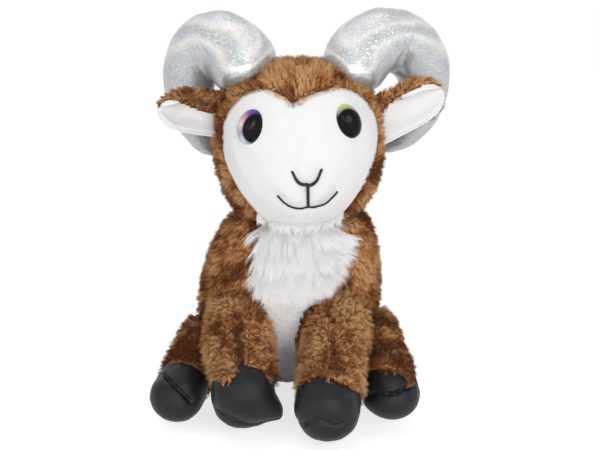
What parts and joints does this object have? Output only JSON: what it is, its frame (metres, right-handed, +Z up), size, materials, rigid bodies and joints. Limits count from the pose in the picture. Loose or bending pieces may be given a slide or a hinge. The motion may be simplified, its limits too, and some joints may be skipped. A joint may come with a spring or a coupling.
{
  "type": "stuffed ram toy",
  "caption": "Sitting stuffed ram with brown plush skins, a white face and chest, curled glitter horns, cupped ears and black cloth hooves that swing on sewn seams.",
  "frame": {"origin": "middle of the flat seat panel that the toy sits on", "axes": "+X to the toy's own left, +Y towards its back, so that it faces -Y, and +Z up"},
  "size_m": [0.1791, 0.2011, 0.2404],
  "materials": {
    "brown_plush": "matte",
    "white_pile": "matte",
    "white_velour": "matte",
    "silver_glitter": "satin",
    "black_nylon": "satin",
    "eye": "gloss",
    "washer": "matte",
    "black_thread": "satin",
    "fibre": "matte",
    "calico": "matte"
  },
  "bodies": {
    "torso": {"body_skin": "brown_plush", "chest_panel": "white_pile", "seat_panel": "brown_plush", "body_fill": "fibre", "pellet_bag": "calico", "neck_seam": "brown_plush", "front_leg_left_seam": "brown_plush", "front_leg_right_seam": "brown_plush", "rear_leg_left_seam": "brown_plush", "rear_leg_right_seam": "brown_plush", "tail_seam": "brown_plush"},
    "head": {"head_hood": "brown_plush", "face_panel": "white_velour", "head_fill": "fibre", "eye_left": "eye", "eye_right": "eye", "eye_washer_left": "washer", "eye_washer_right": "washer", "nose_stitching": "black_thread", "mouth_stitching": "black_thread", "horn_left": "silver_glitter", "horn_right": "silver_glitter", "horn_left_fill": "fibre", "horn_right_fill": "fibre", "ear_left_seam": "brown_plush", "ear_right_seam": "brown_plush"},
    "ear_left": {"ear_left_back": "brown_plush", "ear_left_lining": "white_velour"},
    "ear_right": {"ear_right_back": "brown_plush", "ear_right_lining": "white_velour"},
    "front_leg_left": {"front_leg_left": "brown_plush", "front_hoof_left": "black_nylon", "front_leg_left_fill": "fibre"},
    "front_leg_right": {"front_leg_right": "brown_plush", "front_hoof_right": "black_nylon", "front_leg_right_fill": "fibre"},
    "rear_leg_left": {"rear_leg_left": "brown_plush", "rear_hoof_left": "black_nylon", "rear_leg_left_fill": "fibre"},
    "rear_leg_right": {"rear_leg_right": "brown_plush", "rear_hoof_right": "black_nylon", "rear_leg_right_fill": "fibre"},
    "tail": {"tail": "brown_plush"}
  },
  "joints": [
    {"name": "head_turn", "type": "hinge", "parent": "torso", "child": "head", "pos_m": [0.00826, -0.05078, 0.1195], "axis": [0, 0, 1], "range_deg": [-20, 20], "stiffness_Nm_per_rad": 0.05},
    {"name": "ear_left_fold", "type": "hinge", "parent": "head", "child": "ear_left", "pos_m": [0.05683, -0.07067, 0.17542], "axis": [0.0523, 0, -0.9986], "range_deg": [-25, 40], "stiffness_Nm_per_rad": 0.002},
    {"name": "ear_right_fold", "type": "hinge", "parent": "head", "child": "ear_right", "pos_m": [-0.04159, -0.07774, 0.17923], "axis": [-0.0523, 0, 0.9986], "range_deg": [-25, 40], "stiffness_Nm_per_rad": 0.002},
    {"name": "front_leg_left_lift", "type": "hinge", "parent": "torso", "child": "front_leg_left", "pos_m": [0.02851, -0.07997, 0.0735], "axis": [-1, 0, 0], "range_deg": [0, 60]},
    {"name": "front_leg_right_lift", "type": "hinge", "parent": "torso", "child": "front_leg_right", "pos_m": [-0.0221, -0.07997, 0.0735], "axis": [-1, 0, 0], "range_deg": [0, 60]},
    {"name": "rear_leg_left_spread", "type": "hinge", "parent": "torso", "child": "rear_leg_left", "pos_m": [0.05923, -0.02722, 0.045], "axis": [0, 0, 1], "range_deg": [0, 40], "stiffness_Nm_per_rad": 0.02},
    {"name": "rear_leg_right_spread", "type": "hinge", "parent": "torso", "child": "rear_leg_right", "pos_m": [-0.05683, -0.02722, 0.045], "axis": [0, 0, -1], "range_deg": [0, 40], "stiffness_Nm_per_rad": 0.02},
    {"name": "tail_lift", "type": "hinge", "parent": "torso", "child": "tail", "pos_m": [0.00095, 0.01552, 0.04], "axis": [1, 0, 0], "range_deg": [0, 40]}
  ]
}
